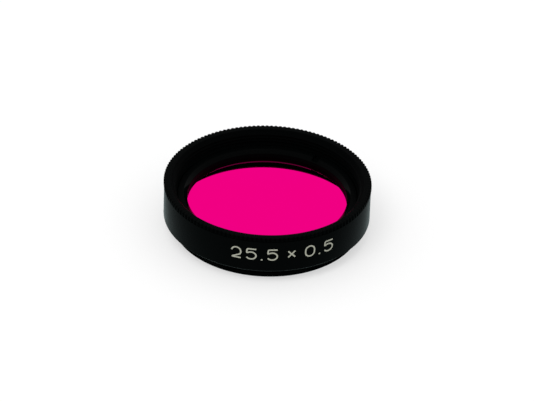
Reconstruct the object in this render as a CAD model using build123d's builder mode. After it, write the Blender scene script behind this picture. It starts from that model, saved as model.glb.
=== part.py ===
from build123d import *
from math import isclose, radians, tan
import os

os.makedirs("parts", exist_ok=True)

# Screw-in optical filter of the 25.5 mm size: a turned ring, a coated glass disc and the
# ring that holds it. Millimetres. +Z runs along the optical axis, from the rear male thread
# to the front rim, and the origin is the centre of the collar's rear face.

# Thread of both ends, M25.5 x 0.5, drawn as plain cylinders
thread_diameter = 25.5
thread_pitch = 0.5
thread_bore_factor = 1.0825  # how much smaller the female thread's bore is, in pitches

# Outside of the mount ring
shoulder_width = 1.25  # from the rear thread out to the smooth wall
collar_height = 1.75
wall_height = 5.3  # from the shoulder up to the rim, knurl included
wall_chamfer = 0.15
collar_lead_in = 0.2

# Straight knurl round the rim, with the fine line turned under it
knurl_count = 144
knurl_height = 0.5
knurl_depth = 0.2
knurl_proud = 0.07  # how far the crests stand out of the smooth wall
groove_angle = 90.0
knurl_start = 0.15  # degrees from +X to the first groove
relief_width = 0.12
relief_clearance = 0.03  # how far the line goes below the knurl's grooves

# Inside of the mount ring, from the front to the rear
front_lead_in = 0.63
stack_step = 0.23  # ledge on which a second filter's collar would bottom
retainer_headroom = 0.15  # from the retaining ring's top up to that ledge
pocket_step = 0.2
glass_stand = 0.1  # how far the glass stands out of its pocket, so that it is clamped
seat_width = 1.2
seat_height = 1.9
rear_chamfer = 0.3

# Coated glass
glass_thickness = 2.0
glass_clearance = 0.05
glass_bevel = 0.15

# Retaining ring
retainer_clearance = 0.05
retainer_width = 1.37
retainer_thickness = 1.1
retainer_bevel = 0.5
retainer_chamfer = 0.1
slot_width = 1.0
slot_depth = 0.4
slot_direction = 55.0  # degrees from +X, of the spanner slots

# Radii and heights that follow
collar_radius = thread_diameter / 2
wall_radius = collar_radius + shoulder_width
crest_radius = wall_radius + knurl_proud
root_radius = crest_radius - knurl_depth
relief_radius = root_radius - relief_clearance
front_radius = (thread_diameter - thread_bore_factor * thread_pitch) / 2
retainer_seat_radius = front_radius - stack_step
pocket_radius = retainer_seat_radius - pocket_step
aperture_radius = pocket_radius - seat_width
rim_height = collar_height + wall_height
band_height = rim_height - knurl_height
glass_top = seat_height + glass_thickness
retainer_top = glass_top + retainer_thickness
ledge_height = retainer_top + retainer_headroom


def turned_edge(radius, height):
    """The circular edge of the part in hand at this radius and height."""
    circles = edges().filter_by(GeomType.CIRCLE)
    return circles.filter_by(
        lambda edge: isclose(edge.radius, radius, abs_tol=1e-4)
        and isclose(edge.arc_center.Z, height, abs_tol=1e-4)
    )


# The ring is turned in one piece: half of its section, revolved
with BuildPart() as mount_ring:
    with BuildSketch(Plane.XZ):
        with BuildLine():
            Polyline(
                (aperture_radius, 0),
                (collar_radius, 0),
                (collar_radius, collar_height),
                (wall_radius, collar_height),
                (wall_radius, band_height - relief_width),
                (relief_radius, band_height - relief_width),
                (relief_radius, band_height),
                (front_radius, band_height),
                (front_radius, ledge_height),
                (retainer_seat_radius, ledge_height),
                (retainer_seat_radius, glass_top - glass_stand),
                (pocket_radius, glass_top - glass_stand),
                (pocket_radius, seat_height),
                (aperture_radius, seat_height),
                close=True,
            )
        make_face()
    revolve(axis=Axis.Z)
    # Knurled band: V grooves cut into the rim's outline, all round
    groove_reach = 1.5 * knurl_depth
    groove_half_width = groove_reach * tan(radians(groove_angle / 2))
    with BuildSketch(Plane.XY.offset(band_height)):
        Circle(crest_radius)
        with PolarLocations(root_radius, knurl_count, start_angle=knurl_start):
            Polygon(
                (0, 0),
                (groove_reach, -groove_half_width),
                (groove_reach, groove_half_width),
                align=None,
                mode=Mode.SUBTRACT,
            )
        Circle(front_radius, mode=Mode.SUBTRACT)
    extrude(amount=knurl_height)
    chamfer(turned_edge(collar_radius, 0), collar_lead_in)
    chamfer(turned_edge(wall_radius, collar_height), wall_chamfer)
    chamfer(turned_edge(front_radius, rim_height), front_lead_in)
    chamfer(turned_edge(aperture_radius, 0), rear_chamfer)
mount_ring.part.label = "mount_ring"
export_step(mount_ring.part, "parts/mount_ring.step")

# The glass rests on the ring's seat
with BuildPart(Plane.XY.offset(seat_height)) as filter_glass:
    Cylinder(
        pocket_radius - glass_clearance,
        glass_thickness,
        align=(Align.CENTER, Align.CENTER, Align.MIN),
    )
    chamfer(edges().filter_by(GeomType.CIRCLE), glass_bevel)
filter_glass.part.label = "filter_glass"
export_step(filter_glass.part, "parts/filter_glass.step")

# The retaining ring screws down on the glass, and two slots take the spanner
retainer_radius = retainer_seat_radius - retainer_clearance
retainer_bore_radius = retainer_radius - retainer_width
with BuildPart() as retaining_ring:
    with BuildSketch(Plane.XZ):
        with BuildLine():
            Polyline(
                (retainer_bore_radius, glass_top),
                (retainer_radius, glass_top),
                (retainer_radius, retainer_top),
                (retainer_bore_radius + retainer_bevel, retainer_top),
                (retainer_bore_radius, retainer_top - retainer_bevel),
                close=True,
            )
        make_face()
    revolve(axis=Axis.Z)
    chamfer(turned_edge(retainer_radius, glass_top), retainer_chamfer)
    chamfer(turned_edge(retainer_radius, retainer_top), retainer_chamfer)
    with BuildSketch(Plane.XY.offset(retainer_top)):
        Rectangle(2 * retainer_radius + slot_width, slot_width, rotation=slot_direction)
    extrude(amount=-slot_depth, mode=Mode.SUBTRACT)
retaining_ring.part.label = "retaining_ring"
export_step(retaining_ring.part, "parts/retaining_ring.step")
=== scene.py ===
import math

import bmesh
import bpy
from mathutils import Matrix, Vector


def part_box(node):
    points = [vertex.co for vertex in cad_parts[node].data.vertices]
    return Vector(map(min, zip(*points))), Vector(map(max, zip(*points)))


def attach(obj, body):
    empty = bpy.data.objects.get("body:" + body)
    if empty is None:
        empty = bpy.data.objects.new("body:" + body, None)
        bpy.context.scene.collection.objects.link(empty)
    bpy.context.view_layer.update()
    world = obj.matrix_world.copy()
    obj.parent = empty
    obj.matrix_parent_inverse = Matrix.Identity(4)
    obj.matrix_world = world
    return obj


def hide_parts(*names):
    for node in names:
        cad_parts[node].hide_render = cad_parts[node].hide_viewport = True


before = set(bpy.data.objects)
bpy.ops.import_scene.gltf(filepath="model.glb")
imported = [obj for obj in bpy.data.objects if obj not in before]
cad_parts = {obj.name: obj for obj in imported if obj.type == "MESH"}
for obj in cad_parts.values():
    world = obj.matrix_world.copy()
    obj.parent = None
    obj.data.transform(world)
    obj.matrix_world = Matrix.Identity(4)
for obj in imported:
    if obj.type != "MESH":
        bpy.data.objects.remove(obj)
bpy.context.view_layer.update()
mm = 0.001
weldDistance = 0.0005 * mm
sharpAngle = math.radians(32)  # edges steeper than this stay crisp
roundSteps = 3  # faces of each eased corner
roundShare = 0.45  # an eased corner takes at most this much of a side
white = "#FFFFFF"
print("frame loaded:", sorted(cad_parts))

# lowest and highest corners of the solids, in mm
ringLow, ringHigh = [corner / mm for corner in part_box("mount_ring")]
glassLow, glassHigh = [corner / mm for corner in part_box("filter_glass")]
retainerLow, retainerHigh = [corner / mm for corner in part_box("retaining_ring")]


# camera: long lens from the front, 33 degrees above the table, as in the photo
view = dict(
    target=Vector((0, 0, 3 * mm)),
    distance=650 * mm,
    elevation=33.363,
    roll=1.965,  # degrees, the table leans a little in the frame
    pixelsPerMm=7.374,
    frameWidth=535,  # pixels
    slideRight=0.087 * mm,  # the object stands a little left of the frame's centre
    slideUp=0.71 * mm,  # and a little under it
    sensorWidth=36,
    clipStart=10 * mm,
    clipEnd=20,  # metres
)


def addCamera():
    up = math.radians(view["elevation"])
    back = Vector((0, -math.cos(up), math.sin(up)))
    lookUp = Vector((0, math.sin(up), math.cos(up)))
    tilt = math.radians(view["roll"])
    right = Vector((1, 0, 0)) * math.cos(tilt) + lookUp * math.sin(tilt)
    top = lookUp * math.cos(tilt) - Vector((1, 0, 0)) * math.sin(tilt)
    place = view["target"] + back * view["distance"]
    place += right * view["slideRight"] + top * view["slideUp"]
    data = bpy.data.cameras.new("camera")
    data.sensor_width = view["sensorWidth"]
    focalPixels = view["pixelsPerMm"] * view["distance"] / mm
    data.lens = data.sensor_width * focalPixels / view["frameWidth"]
    data.clip_start = view["clipStart"]
    data.clip_end = view["clipEnd"]
    camera = bpy.data.objects.new("camera", data)
    turn = Matrix((right, top, back)).transposed()
    camera.matrix_world = Matrix.Translation(place) @ turn.to_4x4()
    bpy.context.scene.collection.objects.link(camera)
    bpy.context.scene.camera = camera


# small helpers
def hexToLinear(code):
    # "#RRGGBB" in sRGB to the linear colour that a socket takes
    channels = [int(code[i : i + 2], 16) / 255 for i in (1, 3, 5)]
    bent = [c / 12.92 if c <= 0.04045 else ((c + 0.055) / 1.055) ** 2.4 for c in channels]
    return (*bent, 1)


def addNode(tree, kind, inputs=None, **settings):
    # inputs: a list, or socket name -> value, socket, or node whose first output is taken
    node = tree.nodes.new(kind)
    for name, value in settings.items():
        setattr(node, name, value)
    named = inputs if isinstance(inputs, dict) else dict(enumerate(inputs or []))
    for key, value in named.items():
        if isinstance(value, bpy.types.Node):
            value = value.outputs[0]
        if isinstance(value, bpy.types.NodeSocket):
            tree.links.new(value, node.inputs[key])
        else:
            node.inputs[key].default_value = value
    return node


def easeCorners(points, radius, closed=True):
    # a small round at each corner, as a turned or engraved edge has;
    # a third number on a point is that corner's own radius
    eased = []
    count = len(points)
    for i, corner in enumerate(points):
        if not closed and i in (0, count - 1):
            eased.append(Vector(corner[:2]))
            continue
        here = Vector(corner[:2])
        before = Vector(points[i - 1][:2]) - here
        after = Vector(points[(i + 1) % count][:2]) - here
        wanted = corner[2] if len(corner) > 2 else radius
        reach = min(wanted, before.length * roundShare, after.length * roundShare)
        start = here + before.normalized() * reach
        end = here + after.normalized() * reach
        for step in range(roundSteps + 1):
            t = step / roundSteps
            eased.append(start * (1 - t) ** 2 + here * 2 * t * (1 - t) + end * t * t)
    return eased


def tidyMesh(mesh):
    work = bmesh.new()
    work.from_mesh(mesh)
    bmesh.ops.remove_doubles(work, verts=work.verts, dist=weldDistance)
    bmesh.ops.recalc_face_normals(work, faces=work.faces)
    work.to_mesh(mesh)
    work.free()
    mesh.shade_smooth()
    mesh.set_sharp_from_angle(angle=sharpAngle)


def turnedMesh(name, outline, segments, startAngle=0.0):
    # outline: (radius, height) in mm, closed; points on the axis become one vertex
    work = bmesh.new()
    rings = []
    for radius, height in outline:
        if radius == 0:
            pole = work.verts.new((0, 0, height * mm))
            rings.append([pole] * segments)
            continue
        ring = []
        for i in range(segments):
            angle = math.radians(startAngle) + 2 * math.pi * i / segments
            place = (radius * math.cos(angle), radius * math.sin(angle), height)
            ring.append(work.verts.new(Vector(place) * mm))
        rings.append(ring)
    for a, b in zip(rings, rings[1:] + rings[:1]):
        if a[0] is a[1] and b[0] is b[1]:
            continue
        for i in range(segments):
            k = (i + 1) % segments
            corners = [a[i], a[k], b[k], b[i]]
            unique = [v for n, v in enumerate(corners) if v not in corners[:n]]
            work.faces.new(unique)
    mesh = bpy.data.meshes.new(name)
    work.to_mesh(mesh)
    work.free()
    return mesh


def addPiece(name, mesh, material=None):
    piece = bpy.data.objects.new(name, mesh)
    bpy.context.scene.collection.objects.link(piece)
    if material:
        mesh.materials.clear()
        mesh.materials.append(material)
    return piece


def throughTree(name, source, tree, values):
    # runs the tree as a modifier and gives back its result as a plain mesh
    holder = bpy.data.objects.new(name + "Source", source)
    bpy.context.scene.collection.objects.link(holder)
    modifier = holder.modifiers.new(tree.name, "NODES")
    modifier.node_group = tree
    for item in tree.interface.items_tree:
        if item.in_out == "INPUT" and item.name in values:
            modifier[item.identifier] = values[item.name]
    bpy.context.view_layer.update()
    shown = holder.evaluated_get(bpy.context.evaluated_depsgraph_get())
    mesh = bpy.data.meshes.new_from_object(shown)
    mesh.name = name
    holder.modifiers.remove(modifier)
    bpy.data.objects.remove(holder)
    tidyMesh(mesh)
    return mesh


def newTree(name, sockets):
    tree = bpy.data.node_groups.new(name, "GeometryNodeTree")
    tree.interface.new_socket("Geometry", in_out="INPUT", socket_type="NodeSocketGeometry")
    for label, kind in sockets:
        tree.interface.new_socket(label, in_out="INPUT", socket_type="NodeSocket" + kind)
    tree.interface.new_socket("Geometry", in_out="OUTPUT", socket_type="NodeSocketGeometry")
    return tree, tree.nodes.new("NodeGroupInput").outputs


def endTree(tree, geometry, material):
    # the export drops instances, so what the tree makes becomes real geometry
    real = addNode(tree, "GeometryNodeRealizeInstances", [geometry])
    painted = addNode(
        tree, "GeometryNodeSetMaterial", {"Geometry": real, "Material": material}
    )
    addNode(tree, "NodeGroupOutput", [painted])


# black anodised aluminium, turned: a dye-black skin that mirrors little head on
# and more at a glancing angle, over fine feed lines
anodised = dict(
    dye="#010202",
    worn="#030404",
    feedMm=0.12,  # feed lines; real ones are about 0.05 mm, drawn coarser so that they show
    feedDepthMm=0.0006,
    feedShare=0.5,  # of the lines in the bump, next to the grain
    bump=0.25,
    grainMm=0.25,  # patches of the etch under the dye
    grainDetail=3.0,
    grainLow=0.3,  # where nearly all of the noise lies
    grainHigh=0.7,
    roughSpread=0.04,
)
# gloss is the specular level, matched to how each face brightens at a glancing angle
turnedFinish = dict(name="turnedBlackAnodised", lines="height", roughness=0.30, gloss=0.012)
# blasted before the dye: nearly no shine, so that no stray light comes off it
mattFinish = dict(name="mattBlackAnodised", lines="radius", roughness=0.45, gloss=0.006)
# cut with a fine tool: its edge mirrors the coating as a thin pink line
bevelFinish = dict(name="fineCutBlackAnodised", lines="radius", roughness=0.10, gloss=0.014)


def anodisedMaterial(finish):
    # lines: "radius" for faces seen from above, "height" for walls
    material = bpy.data.materials.new(finish["name"])
    material.use_nodes = True
    tree = material.node_tree
    shader = tree.nodes["Principled BSDF"]
    place = addNode(tree, "ShaderNodeTexCoord")
    parts = addNode(tree, "ShaderNodeSeparateXYZ", [place.outputs["Object"]])
    flat = addNode(tree, "ShaderNodeCombineXYZ", [parts.outputs["X"], parts.outputs["Y"]])
    radius = addNode(tree, "ShaderNodeVectorMath", [flat], operation="LENGTH")
    run = radius.outputs["Value"] if finish["lines"] == "radius" else parts.outputs["Z"]
    turnsPerMetre = 2 * math.pi / (anodised["feedMm"] * mm)
    phase = addNode(tree, "ShaderNodeMath", [run, turnsPerMetre], operation="MULTIPLY")
    lines = addNode(tree, "ShaderNodeMath", [phase], operation="SINE")
    grain = addNode(
        tree,
        "ShaderNodeTexNoise",
        {
            "Vector": place.outputs["Object"],
            "Scale": 1 / (anodised["grainMm"] * mm),
            "Detail": anodised["grainDetail"],
        },
    )
    mix = addNode(
        tree,
        "ShaderNodeMix",
        {
            "Factor": grain.outputs["Fac"],
            "A": hexToLinear(anodised["dye"]),
            "B": hexToLinear(anodised["worn"]),
        },
        data_type="RGBA",
    )
    tree.links.new(mix.outputs["Result"], shader.inputs["Base Color"])
    rough = addNode(
        tree,
        "ShaderNodeMapRange",
        {
            "Value": grain.outputs["Fac"],
            "From Min": anodised["grainLow"],
            "From Max": anodised["grainHigh"],
            "To Min": finish["roughness"] - anodised["roughSpread"],
            "To Max": finish["roughness"] + anodised["roughSpread"],
        },
    )
    tree.links.new(rough.outputs["Result"], shader.inputs["Roughness"])
    height = addNode(
        tree,
        "ShaderNodeMath",
        [lines, anodised["feedShare"], grain.outputs["Fac"]],
        operation="MULTIPLY_ADD",
    )
    bump = addNode(
        tree,
        "ShaderNodeBump",
        {
            "Height": height,
            "Strength": anodised["bump"],
            "Distance": anodised["feedDepthMm"] * mm,
        },
    )
    tree.links.new(bump.outputs["Normal"], shader.inputs["Normal"])
    shader.inputs["Specular IOR Level"].default_value = finish["gloss"]
    return material


# coated optical glass, polished: the interference coating mirrors all but the band that
# passes, so the disc shows as a clean magenta mirror, a shade cooler where the layers
# are a little thicker
coating = dict(
    mirror="#F20085",
    thicker="#F00088",
    edge="#F800A7",  # what it turns to at a glancing angle
    driftMm=8.0,
    roughness=0.012,
    haze=0.010,  # more roughness where the polish is less fine
    hazeMm=0.6,
)


def coatedGlassMaterial():
    material = bpy.data.materials.new("interferenceCoatedGlass")
    material.use_nodes = True
    tree = material.node_tree
    shader = tree.nodes["Principled BSDF"]
    place = addNode(tree, "ShaderNodeTexCoord")
    drift, polish = [
        addNode(
            tree,
            "ShaderNodeTexNoise",
            {"Vector": place.outputs["Object"], "Scale": 1 / (coating[size] * mm)},
        )
        for size in ("driftMm", "hazeMm")
    ]
    mix = addNode(
        tree,
        "ShaderNodeMix",
        {
            "Factor": drift.outputs["Fac"],
            "A": hexToLinear(coating["mirror"]),
            "B": hexToLinear(coating["thicker"]),
        },
        data_type="RGBA",
    )
    tree.links.new(mix.outputs["Result"], shader.inputs["Base Color"])
    rough = addNode(
        tree,
        "ShaderNodeMapRange",
        {
            "Value": polish.outputs["Fac"],
            "To Min": coating["roughness"],
            "To Max": coating["roughness"] + coating["haze"],
        },
    )
    tree.links.new(rough.outputs["Result"], shader.inputs["Roughness"])
    shader.inputs["Specular Tint"].default_value = hexToLinear(coating["edge"])
    shader.inputs["Metallic"].default_value = 1
    return material


# laser-bleached anodising: pale warm grey and matt
marking = dict(colour="#BABBAC", fleck="#A3A596", roughness=0.6, gloss=0.2, fleckMm=0.05)


def bleachedMaterial():
    material = bpy.data.materials.new("laserBleachedAnodising")
    material.use_nodes = True
    tree = material.node_tree
    shader = tree.nodes["Principled BSDF"]
    place = addNode(tree, "ShaderNodeTexCoord")
    fleck = addNode(
        tree,
        "ShaderNodeTexNoise",
        {"Vector": place.outputs["Object"], "Scale": 1 / (marking["fleckMm"] * mm)},
    )
    mix = addNode(
        tree,
        "ShaderNodeMix",
        {
            "Factor": fleck.outputs["Fac"],
            "A": hexToLinear(marking["colour"]),
            "B": hexToLinear(marking["fleck"]),
        },
        data_type="RGBA",
    )
    tree.links.new(mix.outputs["Result"], shader.inputs["Base Color"])
    shader.inputs["Roughness"].default_value = marking["roughness"]
    shader.inputs["Specular IOR Level"].default_value = marking["gloss"]
    return material


# ring body, in mm: the same turned section as the solid, less the two threads
ring = dict(
    apertureRadius=10.849,
    rearChamfer=0.3,
    sleeveRadius=12.2,  # the male thread's sleeve starts here
    collarRoot=12.45,
    reliefHeight=1.5,  # thread relief between here and the shoulder
    shoulder=1.75,
    wallRadius=14.0,
    wallChamfer=0.15,
    grooveLow=6.43,
    bandLow=6.55,
    grooveRadius=13.84,
    crestRadius=14.07,
    rim=ringHigh.z,
    leadInRadius=13.109,
    boreRadius=12.9,  # the female thread's sleeve fills the bore from here
    ledge=5.15,
    ledgeRadius=12.249,
    pocketTop=3.8,
    pocketRadius=12.049,
    seat=glassLow.z,
    edgeRound=0.03,
    rimEdge=0.008,  # the rim's inner edge is left crisp
    teeth=144,
    stepsPerTooth=6,
    knurlDepth=0.2,
    grooveShare=1 / 3,  # half a groove's width, as a share of the pitch
    knurlStart=0.15,  # degrees
    bandFrom=14.01,  # the grooves are cut only outside this radius
)
# the lead-in cone meets the female thread's sleeve here
leadInEnd = ring["rim"] - (ring["leadInRadius"] - ring["boreRadius"])


def knurlTree():
    sockets = [
        ("Teeth", "Float"),
        ("Start Angle", "Float"),
        ("Depth", "Float"),
        ("Groove Share", "Float"),
        ("Band Radius", "Float"),
        ("Material", "Material"),
    ]
    tree, given = newTree("straightKnurl", sockets)
    place = addNode(tree, "GeometryNodeInputPosition")
    parts = addNode(tree, "ShaderNodeSeparateXYZ", [place])
    x, y = parts.outputs["X"], parts.outputs["Y"]
    flat = addNode(tree, "ShaderNodeCombineXYZ", [x, y])
    radius = addNode(tree, "ShaderNodeVectorMath", [flat], operation="LENGTH")
    outward = addNode(tree, "ShaderNodeVectorMath", [flat], operation="NORMALIZE")
    # how far round from the nearest groove's middle, in pitches
    away = addNode(tree, "ShaderNodeMath", [y, x], operation="ARCTAN2")
    for operation, amount in (
        ("SUBTRACT", given["Start Angle"]),
        ("MULTIPLY", given["Teeth"]),
        ("DIVIDE", 2 * math.pi),
        ("PINGPONG", 0.5),
    ):
        away = addNode(tree, "ShaderNodeMath", [away, amount], operation=operation)
    cut = addNode(
        tree,
        "ShaderNodeMapRange",
        {
            "Value": away,
            "From Min": 0.0,
            "From Max": given["Groove Share"],
            "To Min": given["Depth"],
            "To Max": 0.0,
        },
    )
    inward = outward
    for amount in (cut, -1.0):
        inward = addNode(
            tree, "ShaderNodeVectorMath", {0: inward, "Scale": amount}, operation="SCALE"
        )
    onBand = addNode(
        tree,
        "FunctionNodeCompare",
        {"A": radius.outputs["Value"], "B": given["Band Radius"]},
        operation="GREATER_THAN",
    )
    moved = addNode(
        tree,
        "GeometryNodeSetPosition",
        {"Geometry": given["Geometry"], "Selection": onBand, "Offset": inward},
    )
    endTree(tree, moved, given["Material"])
    return tree


def makeRingBody(material, insideMaterial):
    outline = [
        (ring["apertureRadius"] + ring["rearChamfer"], 0),
        (ring["sleeveRadius"], 0),
        (ring["sleeveRadius"], ring["reliefHeight"]),
        (ring["collarRoot"], ring["reliefHeight"]),
        (ring["collarRoot"], ring["shoulder"]),
        (ring["wallRadius"] - ring["wallChamfer"], ring["shoulder"]),
        (ring["wallRadius"], ring["shoulder"] + ring["wallChamfer"]),
        (ring["wallRadius"], ring["grooveLow"]),
        (ring["grooveRadius"], ring["grooveLow"]),
        (ring["grooveRadius"], ring["bandLow"]),
        (ring["crestRadius"], ring["bandLow"]),
        (ring["crestRadius"], ring["rim"]),
        (ring["leadInRadius"], ring["rim"], ring["rimEdge"]),
        (ring["boreRadius"], leadInEnd),
        (ring["boreRadius"], ring["ledge"]),
        (ring["ledgeRadius"], ring["ledge"]),
        (ring["ledgeRadius"], ring["pocketTop"]),
        (ring["pocketRadius"], ring["pocketTop"]),
        (ring["pocketRadius"], ring["seat"]),
        (ring["apertureRadius"], ring["seat"]),
        (ring["apertureRadius"], ring["rearChamfer"]),
    ]
    source = turnedMesh(
        "ringTurned",
        easeCorners(outline, ring["edgeRound"]),
        ring["teeth"] * ring["stepsPerTooth"],
        ring["knurlStart"],
    )
    values = {
        "Teeth": float(ring["teeth"]),
        "Start Angle": math.radians(ring["knurlStart"]),
        "Depth": ring["knurlDepth"] * mm,
        "Groove Share": ring["grooveShare"],
        "Band Radius": ring["bandFrom"] * mm,
        "Material": material,
    }
    mesh = throughTree("ring_body", source, knurlTree(), values)
    # the knurled rim and all that lies inside it are matt
    mesh.materials.append(insideMaterial)
    for face in mesh.polygons:
        spot = face.center / mm
        inside = math.hypot(spot.x, spot.y) < ring["leadInRadius"] and spot.z > ring["seat"]
        if inside or spot.z > ring["bandLow"]:
            face.material_index = 1
    return addPiece("ring_body", mesh)


# both threads, in mm: side +1 is a male thread, -1 a female one
rearThread = dict(
    side=1.0,
    tip=12.75,
    back=ring["sleeveRadius"],
    low=ringLow.z,
    high=ring["reliefHeight"],
    lead=0.2,  # how deep the lead-in cone cuts at leadEnd
    leadEnd=ringLow.z,
)
frontThread = dict(
    side=-1.0,
    tip=12.479,
    back=ring["boreRadius"],
    low=ring["ledge"],
    high=leadInEnd,
    lead=0.421,
    leadEnd=leadInEnd,
)
threadForm = dict(
    pitch=0.5,
    depth=0.27,
    segments=288,
    stepsPerPitch=16,  # the crest's and the root's corners fall on whole steps
    crestHalf=1 / 16,  # in pitches
    rootStart=3 / 8,
)


def threadTree():
    sockets = [
        ("Pitch", "Float"),
        ("Depth", "Float"),
        ("Side", "Float"),
        ("Tip Radius", "Float"),
        ("Back Radius", "Float"),
        ("Low", "Float"),
        ("High", "Float"),
        ("Lead", "Float"),
        ("Lead End", "Float"),
        ("Segments", "Int"),
        ("Rows", "Int"),
        ("Steps", "Float"),
        ("Crest Half", "Float"),
        ("Root Start", "Float"),
        ("Material", "Material"),
    ]
    tree, given = newTree("threadedSleeve", sockets)
    known = {item.name: item for item in given}
    place = addNode(tree, "GeometryNodeInputPosition")
    parts = addNode(tree, "ShaderNodeSeparateXYZ", [place])
    known["sheetX"], known["sheetY"] = parts.outputs["X"], parts.outputs["Y"]
    # each line: what it gives, the operation and what it takes
    formula = [
        ("across", "ADD", "Segments", 1),
        ("along", "ADD", "Rows", 3),  # three rows more run along the sleeve's back
        ("lastRow", "ADD", "Rows", 1),
        ("allRows", "ADD", "Rows", 2),
        ("turn", "ADD", "sheetX", 0.5),
        ("row", "ADD", "sheetY", 0.5),
        ("row", "MULTIPLY", "row", "allRows"),
        ("row", "ROUND", "row"),
        # rows follow the helix and stop at both ends
        ("climb", "SUBTRACT", "row", 1),
        ("climb", "DIVIDE", "climb", "Steps"),
        ("climb", "ADD", "climb", "turn"),
        ("climb", "SUBTRACT", "climb", 1),
        ("climb", "MULTIPLY", "climb", "Pitch"),
        ("height", "ADD", "climb", "Low"),
        ("height", "MAXIMUM", "height", "Low"),
        ("height", "MINIMUM", "height", "High"),
        # how far this point lies from the crest's middle, in pitches
        ("phase", "SUBTRACT", "height", "Low"),
        ("phase", "DIVIDE", "phase", "Pitch"),
        ("phase", "SUBTRACT", "phase", "turn"),
        ("phase", "ADD", "phase", 2),
        ("phase", "FRACT", "phase"),
        ("fromCrest", "SUBTRACT", "phase", 0.5),
        ("fromCrest", "ABSOLUTE", "fromCrest"),
        # from the crest down the flank to the root
        ("flank", "SUBTRACT", "Root Start", "Crest Half"),
        ("cut", "SUBTRACT", "fromCrest", "Crest Half"),
        ("cut", "DIVIDE", "cut", "flank"),
        ("cut", "MAXIMUM", "cut", 0),
        ("cut", "MINIMUM", "cut", 1),
        ("cut", "MULTIPLY", "cut", "Depth"),
        ("tipOut", "MULTIPLY", "Tip Radius", "Side"),
        ("formed", "SUBTRACT", "tipOut", "cut"),
        ("leadCone", "SUBTRACT", "height", "Lead End"),
        ("leadCone", "ABSOLUTE", "leadCone"),
        ("leadCone", "ADD", "leadCone", "tipOut"),
        ("leadCone", "SUBTRACT", "leadCone", "Lead"),
        ("radius", "MINIMUM", "formed", "leadCone"),
        ("radius", "MULTIPLY", "radius", "Side"),
        # row 0 and the two rows past the face lie on the sleeve's back
        ("middleRow", "DIVIDE", "lastRow", 2),
        ("halfRows", "DIVIDE", "Rows", 2),
        ("onFace", "COMPARE", "row", "middleRow", "halfRows"),
        ("onBack", "SUBTRACT", 1, "onFace"),
        ("radius", "MULTIPLY", "radius", "onFace"),
        ("radius", "MULTIPLY_ADD", "Back Radius", "onBack", "radius"),
        ("onTop", "COMPARE", "row", "lastRow", 0.5),
        ("backHeight", "SUBTRACT", "High", "Low"),
        ("backHeight", "MULTIPLY_ADD", "backHeight", "onTop", "Low"),
        ("height", "MULTIPLY", "height", "onFace"),
        ("height", "MULTIPLY_ADD", "backHeight", "onBack", "height"),
        # round the axis
        ("angle", "MULTIPLY", "turn", 2 * math.pi),
        ("x", "COSINE", "angle"),
        ("y", "SINE", "angle"),
        ("x", "MULTIPLY", "x", "radius"),
        ("y", "MULTIPLY", "y", "radius"),
    ]
    for result, operation, *taken in formula:
        values = [known[item] if isinstance(item, str) else item for item in taken]
        known[result] = addNode(tree, "ShaderNodeMath", values, operation=operation)
    sheet = addNode(
        tree,
        "GeometryNodeMeshGrid",
        {
            "Size X": 1.0,
            "Size Y": 1.0,
            "Vertices X": known["across"],
            "Vertices Y": known["along"],
        },
    )
    wrapped = addNode(tree, "ShaderNodeCombineXYZ", [known["x"], known["y"], known["height"]])
    moved = addNode(
        tree,
        "GeometryNodeSetPosition",
        {"Geometry": sheet.outputs["Mesh"], "Position": wrapped},
    )
    closed = addNode(
        tree, "GeometryNodeMergeByDistance", {"Geometry": moved, "Distance": weldDistance}
    )
    endTree(tree, closed, given["Material"])
    return tree


def makeThread(name, size, tree, material):
    turns = (size["high"] - size["low"]) / threadForm["pitch"]
    rows = math.ceil((turns + 1) * threadForm["stepsPerPitch"]) + 1
    values = {
        "Pitch": threadForm["pitch"] * mm,
        "Depth": threadForm["depth"] * mm,
        "Side": size["side"],
        "Tip Radius": size["tip"] * mm,
        "Back Radius": size["back"] * mm,
        "Low": size["low"] * mm,
        "High": size["high"] * mm,
        "Lead": size["lead"] * mm,
        "Lead End": size["leadEnd"] * mm,
        "Segments": threadForm["segments"],
        "Rows": rows,
        "Steps": float(threadForm["stepsPerPitch"]),
        "Crest Half": threadForm["crestHalf"],
        "Root Start": threadForm["rootStart"],
        "Material": material,
    }
    mesh = throughTree(name, bpy.data.meshes.new(name), tree, values)
    return addPiece(name, mesh)


# glass disc, in mm
glass = dict(
    radius=glassHigh.x,
    low=glassLow.z,
    top=glassHigh.z,
    bevel=0.15,
    segments=288,
)


def makeGlass(material):
    outline = [
        (0, glass["low"]),
        (glass["radius"] - glass["bevel"], glass["low"]),
        (glass["radius"], glass["low"] + glass["bevel"]),
        (glass["radius"], glass["top"] - glass["bevel"]),
        (glass["radius"] - glass["bevel"], glass["top"]),
        (0, glass["top"]),
    ]
    mesh = turnedMesh("coated_disc", outline, glass["segments"])
    tidyMesh(mesh)
    return addPiece("coated_disc", mesh, material)


# retaining ring, in mm
retainer = dict(
    bore=10.829,
    radius=retainerHigh.x,
    low=retainerLow.z,
    top=retainerHigh.z,
    bevel=0.5,
    bevelLean=0.2,  # how far a bevel face's normal may stray from 45 degrees
    chamfer=0.1,
    edgeRound=0.03,
    slotWidth=1.0,
    slotDepth=0.4,
    slotDirection=55.0,  # degrees from +X
    cutterReach=2.2,  # the cutter's length, in radii
    segments=360,
)


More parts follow.
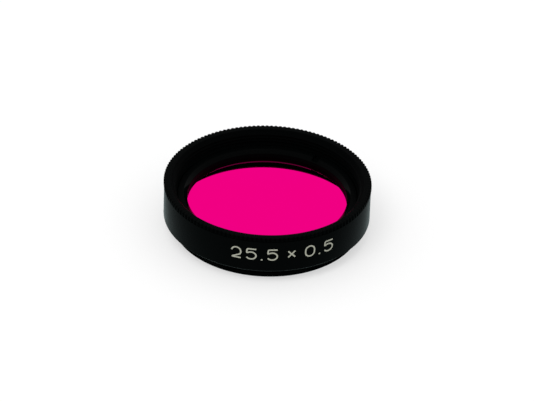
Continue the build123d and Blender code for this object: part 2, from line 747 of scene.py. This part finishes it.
def slotCutter():
    # one long block mills both spanner slots
    mesh = bpy.data.meshes.new("slotCutter")
    work = bmesh.new()
    bmesh.ops.create_cube(work, size=1)
    reach = retainer["cutterReach"] * retainer["radius"]
    size = Vector((reach, retainer["slotWidth"], 2 * retainer["slotDepth"])) * mm
    bmesh.ops.scale(work, vec=size, verts=work.verts)
    work.to_mesh(mesh)
    work.free()
    turn = Matrix.Rotation(math.radians(retainer["slotDirection"]), 4, "Z")
    mesh.transform(Matrix.Translation((0, 0, retainer["top"] * mm)) @ turn)
    cutter = bpy.data.objects.new("slotCutter", mesh)
    bpy.context.scene.collection.objects.link(cutter)
    return cutter


def makeRetainer(material, bevelMaterial):
    outline = [
        (retainer["bore"], retainer["low"]),
        (retainer["radius"] - retainer["chamfer"], retainer["low"]),
        (retainer["radius"], retainer["low"] + retainer["chamfer"]),
        (retainer["radius"], retainer["top"] - retainer["chamfer"]),
        (retainer["radius"] - retainer["chamfer"], retainer["top"]),
        (retainer["bore"] + retainer["bevel"], retainer["top"]),
        (retainer["bore"], retainer["top"] - retainer["bevel"]),
    ]
    mesh = turnedMesh(
        "retainerTurned", easeCorners(outline, retainer["edgeRound"]), retainer["segments"]
    )
    tidyMesh(mesh)
    mesh.materials.append(material)
    blank = bpy.data.objects.new("retainerTurned", mesh)
    bpy.context.scene.collection.objects.link(blank)
    cutter = slotCutter()
    cut = blank.modifiers.new("spannerSlots", "BOOLEAN")
    cut.object = cutter
    cut.operation = "DIFFERENCE"
    cut.solver = "EXACT"
    bpy.context.view_layer.update()
    shown = blank.evaluated_get(bpy.context.evaluated_depsgraph_get())
    result = bpy.data.meshes.new_from_object(shown)
    blank.modifiers.remove(cut)
    bpy.data.objects.remove(blank)
    bpy.data.objects.remove(cutter)
    tidyMesh(result)
    piece = addPiece("retainer", result, material)
    result.materials.append(bevelMaterial)
    for face in result.polygons:
        # the bevel alone points both upwards and in to the axis
        inward = -(face.normal.xy @ face.center.xy.normalized())
        if min(inward, face.normal.z) > math.sqrt(0.5) - retainer["bevelLean"]:
            face.material_index = 1
    return piece


# figures on the wall, in mm: the thread's size in plain numerals
figures = dict(
    text="25.5 x 0.5",
    middle=-79.6,  # degrees from +X; the front is at -90
    baseline=3.57,
    height=1.79,
    width=1.5,
    gap=0.565,
    space=0.8,
    stroke=0.2,
    proud=0.012,
    depth=0.05,
    cornerRadius=0.16,
    step=0.08,
    arcSteps=14,
    twoBow=(170, -35),  # degrees, from where to where it runs
    fiveBowl=(128, -148),
    fiveBowlHalf=0.56,  # half its height
    fiveBowlShift=0.94,  # its middle, in half widths
    fiveBowlSpread=1.06,  # half its width, in half widths
    fiveBackTop=0.08,  # how far the back stands in from the left, at its top
    fiveBackFoot=0.02,
    fiveNeck=0.06,
    dotWidth=0.22,
    crossSide=0.95,
    crossLift=0.42,
)


def arc(middle, radii, start, end):
    points = []
    for i in range(figures["arcSteps"] + 1):
        angle = math.radians(start + (end - start) * i / figures["arcSteps"])
        x = middle[0] + radii[0] * math.cos(angle)
        points.append((x, middle[1] + radii[1] * math.sin(angle)))
    return points


def strokesFor(letter):
    # each stroke: its points in mm and whether it is closed; then the letter's width
    w, h, s = figures["width"], figures["height"], figures["stroke"]
    x0, x1, y0, y1 = s / 2, w - s / 2, s / 2, h - s / 2
    half = (x1 - x0) / 2
    if letter == "0":
        loop = arc((w / 2, y1 - half), (half, half), 0, 180)
        loop += arc((w / 2, y0 + half), (half, half), 180, 360)
        return [(loop, True)], w
    if letter == "2":
        line = arc((w / 2, y1 - half), (half, half), *figures["twoBow"])
        line += easeCorners([line[-1], (x0, y0), (x1, y0)], figures["cornerRadius"], False)[1:]
        return [(line, False)], w
    if letter == "5":
        rise = figures["fiveBowlHalf"]
        middle = (x0 + half * figures["fiveBowlShift"], y0 + rise)
        bowl = arc(middle, (half * figures["fiveBowlSpread"], rise), *figures["fiveBowl"])
        foot = (x0 + figures["fiveBackFoot"], bowl[0][1] - figures["fiveNeck"])
        top = [(x1, y1), (x0 + figures["fiveBackTop"], y1), foot, bowl[0]]
        line = easeCorners(top, figures["cornerRadius"], False)
        return [([tuple(p) for p in line] + bowl[1:], False)], w
    if letter == ".":
        dot = figures["dotWidth"]
        return [([(0, s / 2), (dot, s / 2)], False)], dot
    if letter == "x":
        side, y = figures["crossSide"], figures["crossLift"]
        centre = Vector((side / 2, y + side / 2))
        first = [(0, y), (side, y + side)]
        reach = Vector((-side / 2, side / 2))
        near = reach.normalized() * (s / 2)
        halves = [
            ([tuple(centre + near * k), tuple(centre + reach * k)], False) for k in (1, -1)
        ]
        return [(first, False)] + halves, side
    return [], figures["space"]


def figureCurve():
    curve = bpy.data.curves.new("figurePaths", "CURVE")
    curve.dimensions = "3D"
    cursor = 0.0
    paths = []
    for letter in figures["text"]:
        strokes, width = strokesFor(letter)
        for points, closed in strokes:
            paths.append(([(x + cursor, y) for x, y in points], closed))
        cursor += width + (figures["gap"] if strokes else 0)
    total = cursor - figures["gap"]
    for points, closed in paths:
        spline = curve.splines.new("POLY")
        spline.points.add(len(points) - 1)
        for point, (x, y) in zip(spline.points, points):
            point.co = ((x - total / 2) * mm, y * mm, 0, 1)
        spline.use_cyclic_u = closed
    return curve


def engravingTree():
    sockets = [
        ("Stroke", "Float"),
        ("Proud", "Float"),
        ("Depth", "Float"),
        ("Step", "Float"),
        ("Wall Radius", "Float"),
        ("Middle", "Float"),
        ("Baseline", "Float"),
        ("Material", "Material"),
    ]
    tree, given = newTree("engravedFigures", sockets)
    fine = addNode(
        tree,
        "GeometryNodeResampleCurve",
        {"Curve": given["Geometry"], "Length": given["Step"]},
        mode="LENGTH",
    )
    level = addNode(tree, "GeometryNodeSetCurveNormal", {"Curve": fine}, mode="Z_UP")
    section = addNode(
        tree,
        "GeometryNodeCurvePrimitiveQuadrilateral",
        {"Width": given["Stroke"], "Height": given["Depth"]},
    )
    swept = addNode(
        tree,
        "GeometryNodeCurveToMesh",
        {"Curve": level, "Profile Curve": section, "Fill Caps": True},
    )
    # bend the flat figures round the wall
    place = addNode(tree, "GeometryNodeInputPosition")
    parts = addNode(tree, "ShaderNodeSeparateXYZ", [place])
    known = {item.name: item for item in given}
    known["along"], known["upward"], known["outward"] = parts.outputs[:3]
    # each line: what it gives, the operation and what it takes
    formula = [
        ("angle", "DIVIDE", "along", "Wall Radius"),
        ("angle", "ADD", "angle", "Middle"),
        ("half", "MULTIPLY", "Depth", 0.5),
        ("radius", "ADD", "Wall Radius", "Proud"),
        ("radius", "SUBTRACT", "radius", "half"),
        ("radius", "ADD", "radius", "outward"),
        ("x", "COSINE", "angle"),
        ("y", "SINE", "angle"),
        ("x", "MULTIPLY", "x", "radius"),
        ("y", "MULTIPLY", "y", "radius"),
        ("z", "ADD", "upward", "Baseline"),
    ]
    for result, operation, *taken in formula:
        values = [known[item] if isinstance(item, str) else item for item in taken]
        known[result] = addNode(tree, "ShaderNodeMath", values, operation=operation)
    wrapped = addNode(tree, "ShaderNodeCombineXYZ", [known["x"], known["y"], known["z"]])
    moved = addNode(
        tree, "GeometryNodeSetPosition", {"Geometry": swept, "Position": wrapped}
    )
    endTree(tree, moved, given["Material"])
    return tree


def makeFigures(material):
    values = {
        "Stroke": figures["stroke"] * mm,
        "Proud": figures["proud"] * mm,
        "Depth": figures["depth"] * mm,
        "Step": figures["step"] * mm,
        "Wall Radius": ring["wallRadius"] * mm,
        "Middle": math.radians(figures["middle"]),
        "Baseline": figures["baseline"] * mm,
        "Material": material,
    }
    mesh = throughTree("size_figures", figureCurve(), engravingTree(), values)
    return addPiece("size_figures", mesh)


# pale table, soft light and white surroundings
studio = dict(
    floorColour="#B0B0B0",
    floorGlow=0.52,  # what the camera sees on top of the lit floor, up to white
    mirrorGlow=0.65,  # what gloss sees of it, a little cool
    mirrorColour="#DCFFFF",
    lampPower=2.5,
    lampSize=0.5,
    lampPlace=(-0.35, -0.45, 0.9),
    tableHalf=3,  # metres
    tableDrop=0.02 * mm,  # just clear of the rear face
)


def makeTable():
    plane = bpy.data.meshes.new("table")
    work = bmesh.new()
    bmesh.ops.create_grid(work, x_segments=1, y_segments=1, size=studio["tableHalf"])
    work.to_mesh(plane)
    work.free()
    plane.transform(Matrix.Translation((0, 0, -studio["tableDrop"])))
    table = bpy.data.objects.new("table", plane)
    bpy.context.scene.collection.objects.link(table)
    material = bpy.data.materials.new("whiteCardTable")
    material.use_nodes = True
    tree = material.node_tree
    tree.nodes.clear()
    path = addNode(tree, "ShaderNodeLightPath")
    surface = addNode(
        tree, "ShaderNodeBsdfDiffuse", {"Color": hexToLinear(studio["floorColour"])}
    )
    for ray, strength, colour in (
        ("Is Camera Ray", studio["floorGlow"], white),
        ("Is Glossy Ray", studio["mirrorGlow"], studio["mirrorColour"]),
    ):
        glow = addNode(
            tree, "ShaderNodeMath", [path.outputs[ray], strength], operation="MULTIPLY"
        )
        light = addNode(
            tree, "ShaderNodeEmission", {"Color": hexToLinear(colour), "Strength": glow}
        )
        surface = addNode(tree, "ShaderNodeAddShader", [surface, light])
    addNode(tree, "ShaderNodeOutputMaterial", {"Surface": surface})
    plane.materials.append(material)


def makeRoom():
    world = bpy.data.worlds.new("softWhiteRoom")
    bpy.context.scene.world = world
    world.use_nodes = True
    tree = world.node_tree
    tree.nodes.clear()
    sky = addNode(tree, "ShaderNodeBackground", {"Color": hexToLinear(white)})
    addNode(tree, "ShaderNodeOutputWorld", {"Surface": sky})


def makeLamp():
    data = bpy.data.lights.new("softbox", "AREA")
    data.size = studio["lampSize"]
    data.energy = studio["lampPower"]
    lamp = bpy.data.objects.new("softbox", data)
    lamp.visible_glossy = False  # soft light only, no hot spot in the glass
    lamp.location = studio["lampPlace"]
    lamp.rotation_euler = (-lamp.location).to_track_quat("-Z", "Y").to_euler()
    bpy.context.scene.collection.objects.link(lamp)


def buildAll():
    addCamera()
    makeTable()
    makeRoom()
    makeLamp()
    print("camera, table and light placed")
    wallBlack = anodisedMaterial(turnedFinish)
    insideBlack = anodisedMaterial(mattFinish)
    body = makeRingBody(wallBlack, insideBlack)
    sleeves = threadTree()
    rear = makeThread("rear_thread", rearThread, sleeves, wallBlack)
    front = makeThread("front_thread", frontThread, sleeves, insideBlack)
    print("ring, knurl and threads turned")
    disc = makeGlass(coatedGlassMaterial())
    holder = makeRetainer(insideBlack, anodisedMaterial(bevelFinish))
    numbers = makeFigures(bleachedMaterial())
    print("glass, retaining ring and figures made")
    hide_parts("mount_ring")
    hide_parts("filter_glass")
    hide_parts("retaining_ring")
    for piece in (body, rear, front, disc, holder, numbers):
        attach(piece, "root")
        print(piece.name, len(piece.data.polygons), "faces")


buildAll()
bpy.context.scene.view_settings.view_transform = "Standard"
